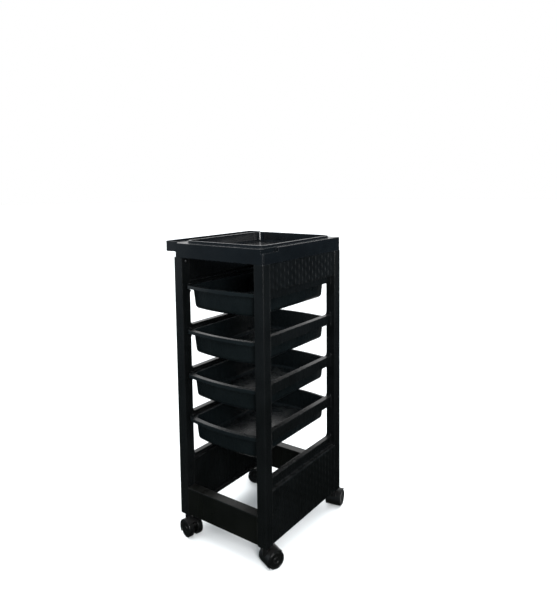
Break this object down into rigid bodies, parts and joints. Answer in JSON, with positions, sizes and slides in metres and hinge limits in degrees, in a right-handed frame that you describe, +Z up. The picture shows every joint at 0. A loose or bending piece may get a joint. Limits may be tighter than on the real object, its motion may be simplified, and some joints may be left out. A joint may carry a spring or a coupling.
{
  "type": "rolling salon trolley",
  "caption": "Tall moulded-plastic salon trolley with a recessed top tray, pull-out drawers between open side frames, and twin-wheel swivel casters.",
  "frame": {"origin": "on the floor under the middle of the bounding box", "axes": "+Z up, -Y towards the drawer fronts, +X to the right seen from the front"},
  "size_m": [0.3734, 0.4383, 0.868],
  "materials": {
    "side_frame": "satin black moulded polypropylene, soft gloss on edges",
    "crossbar": "satin black moulded polypropylene",
    "top_tray": "glossy black moulded plastic",
    "drawer": "satin black moulded polypropylene",
    "caster_hood": "satin black nylon",
    "caster_wheel": "satin black nylon with a worn tread",
    "caster_socket": "dull black nylon",
    "steel": "zinc-plated steel",
    "screws": "blackened zinc-plated steel"
  },
  "bodies": {
    "frame": {"side_frame_left": "side_frame", "side_frame_right": "side_frame", "front_crossbar": "crossbar", "rear_crossbar": "crossbar", "top_tray": "top_tray", "crossbar_screws": "screws", "tray_screws": "screws", "caster_front_right_socket": "caster_socket", "caster_front_left_socket": "caster_socket", "caster_rear_right_socket": "caster_socket", "caster_rear_left_socket": "caster_socket"},
    "drawer_1_set": {"drawer_1": "drawer"},
    "drawer_2_set": {"drawer_2": "drawer"},
    "drawer_3_set": {"drawer_3": "drawer"},
    "drawer_4_set": {"drawer_4": "drawer"},
    "swivel_front_right": {"caster_front_right_stem": "steel", "caster_front_right_ring": "steel", "caster_front_right_hood": "caster_hood", "caster_front_right_axle": "steel"},
    "roller_front_right_a": {"caster_front_right_wheel_a": "caster_wheel"},
    "roller_front_right_b": {"caster_front_right_wheel_b": "caster_wheel"},
    "swivel_front_left": {"caster_front_left_stem": "steel", "caster_front_left_ring": "steel", "caster_front_left_hood": "caster_hood", "caster_front_left_axle": "steel"},
    "roller_front_left_a": {"caster_front_left_wheel_a": "caster_wheel"},
    "roller_front_left_b": {"caster_front_left_wheel_b": "caster_wheel"},
    "swivel_rear_right": {"caster_rear_right_stem": "steel", "caster_rear_right_ring": "steel", "caster_rear_right_hood": "caster_hood", "caster_rear_right_axle": "steel"},
    "roller_rear_right_a": {"caster_rear_right_wheel_a": "caster_wheel"},
    "roller_rear_right_b": {"caster_rear_right_wheel_b": "caster_wheel"},
    "swivel_rear_left": {"caster_rear_left_stem": "steel", "caster_rear_left_ring": "steel", "caster_rear_left_hood": "caster_hood", "caster_rear_left_axle": "steel"},
    "roller_rear_left_a": {"caster_rear_left_wheel_a": "caster_wheel"},
    "roller_rear_left_b": {"caster_rear_left_wheel_b": "caster_wheel"}
  },
  "joints": [
    {"name": "drawer_1_slide", "type": "slide", "parent": "frame", "child": "drawer_1_set", "axis": [0, -1, 0], "range_m": [0, 0.24]},
    {"name": "drawer_2_slide", "type": "slide", "parent": "frame", "child": "drawer_2_set", "axis": [0, -1, 0], "range_m": [0, 0.24]},
    {"name": "drawer_3_slide", "type": "slide", "parent": "frame", "child": "drawer_3_set", "axis": [0, -1, 0], "range_m": [0, 0.24]},
    {"name": "drawer_4_slide", "type": "slide", "parent": "frame", "child": "drawer_4_set", "axis": [0, -1, 0], "range_m": [0, 0.24]},
    {"name": "swivel_front_right_turn", "type": "hinge", "parent": "frame", "child": "swivel_front_right", "pos_m": [0.1495, -0.1861, 0.062], "axis": [0, 0, 1], "continuous": true},
    {"name": "roller_front_right_a_spin", "type": "hinge", "parent": "swivel_front_right", "child": "roller_front_right_a", "pos_m": [0.15699, -0.16756, 0.025], "axis": [-0.9272, 0.3746, 0], "continuous": true},
    {"name": "roller_front_right_b_spin", "type": "hinge", "parent": "swivel_front_right", "child": "roller_front_right_b", "pos_m": [0.15699, -0.16756, 0.025], "axis": [-0.9272, 0.3746, 0], "continuous": true},
    {"name": "swivel_front_left_turn", "type": "hinge", "parent": "frame", "child": "swivel_front_left", "pos_m": [-0.1375, -0.1861, 0.062], "axis": [0, 0, 1], "continuous": true},
    {"name": "roller_front_left_a_spin", "type": "hinge", "parent": "swivel_front_left", "child": "roller_front_left_a", "pos_m": [-0.11818, -0.19128, 0.025], "axis": [0.2588, 0.9659, 0], "continuous": true},
    {"name": "roller_front_left_b_spin", "type": "hinge", "parent": "swivel_front_left", "child": "roller_front_left_b", "pos_m": [-0.11818, -0.19128, 0.025], "axis": [0.2588, 0.9659, 0], "continuous": true},
    {"name": "swivel_rear_right_turn", "type": "hinge", "parent": "frame", "child": "swivel_rear_right", "pos_m": [0.1495, 0.1709, 0.062], "axis": [0, 0, 1], "continuous": true},
    {"name": "roller_rear_right_a_spin", "type": "hinge", "parent": "swivel_rear_right", "child": "roller_rear_right_a", "pos_m": [0.14534, 0.19046, 0.025], "axis": [-0.9781, -0.2079, 0], "continuous": true},
    {"name": "roller_rear_right_b_spin", "type": "hinge", "parent": "swivel_rear_right", "child": "roller_rear_right_b", "pos_m": [0.14534, 0.19046, 0.025], "axis": [-0.9781, -0.2079, 0], "continuous": true},
    {"name": "swivel_rear_left_turn", "type": "hinge", "parent": "frame", "child": "swivel_rear_left", "pos_m": [-0.1375, 0.1709, 0.062], "axis": [0, 0, 1], "continuous": true},
    {"name": "roller_rear_left_a_spin", "type": "hinge", "parent": "swivel_rear_left", "child": "roller_rear_left_a", "pos_m": [-0.15446, 0.1603, 0.025], "axis": [0.5299, -0.848, 0], "continuous": true},
    {"name": "roller_rear_left_b_spin", "type": "hinge", "parent": "swivel_rear_left", "child": "roller_rear_left_b", "pos_m": [-0.15446, 0.1603, 0.025], "axis": [0.5299, -0.848, 0], "continuous": true}
  ]
}
